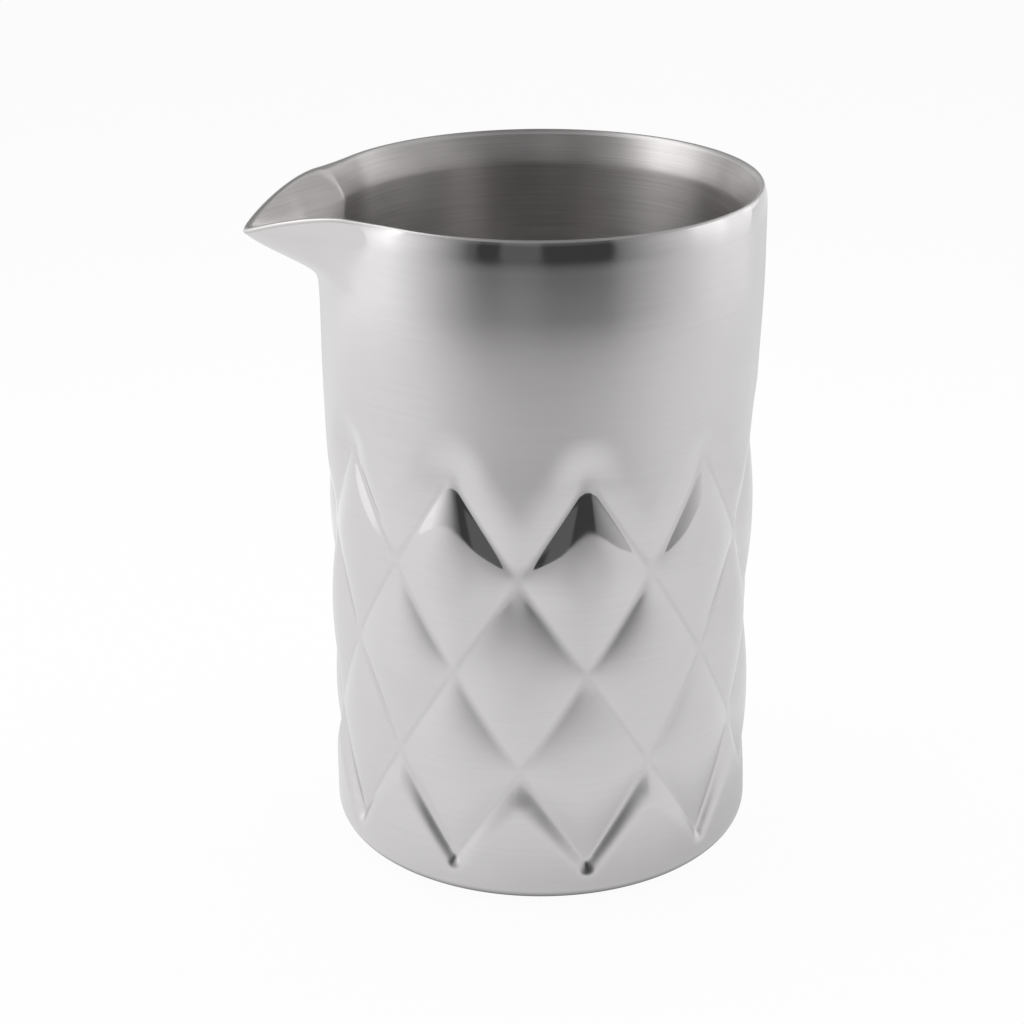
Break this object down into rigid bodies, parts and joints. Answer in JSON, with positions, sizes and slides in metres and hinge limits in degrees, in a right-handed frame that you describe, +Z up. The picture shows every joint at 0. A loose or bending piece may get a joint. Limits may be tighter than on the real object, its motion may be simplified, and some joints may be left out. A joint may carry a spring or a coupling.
{
  "type": "mixing cup",
  "caption": "Tall double-wall steel mixing cup with a pinched pouring spout, a wall embossed with diamonds, a drawn inner liner, a welded rim and a flat base.",
  "frame": {"origin": "on the cup's axis, at the underside of its base", "axes": "+Z up along the cup's axis; the spout points along -X; +Y is across the spout, and the cup is the same on both sides of the XZ plane"},
  "size_m": [0.1075, 0.0936, 0.1446],
  "materials": {
    "polished_steel": "polished",
    "satin_steel": "satin, brushed round the cup",
    "base_steel": "brushed",
    "plain_steel": "mill finish",
    "seal_metal": "dull",
    "getter_alloy": "dull, sintered"
  },
  "bodies": {
    "root": {"outer_shell": "polished_steel", "inner_liner": "satin_steel", "rim_weld": "polished_steel", "base_cover": "base_steel", "cover_weld": "plain_steel", "shell_bottom": "plain_steel", "shell_weld": "plain_steel", "seal_plug": "seal_metal", "getter_holder": "plain_steel", "getter": "getter_alloy"}
  },
  "joints": []
}
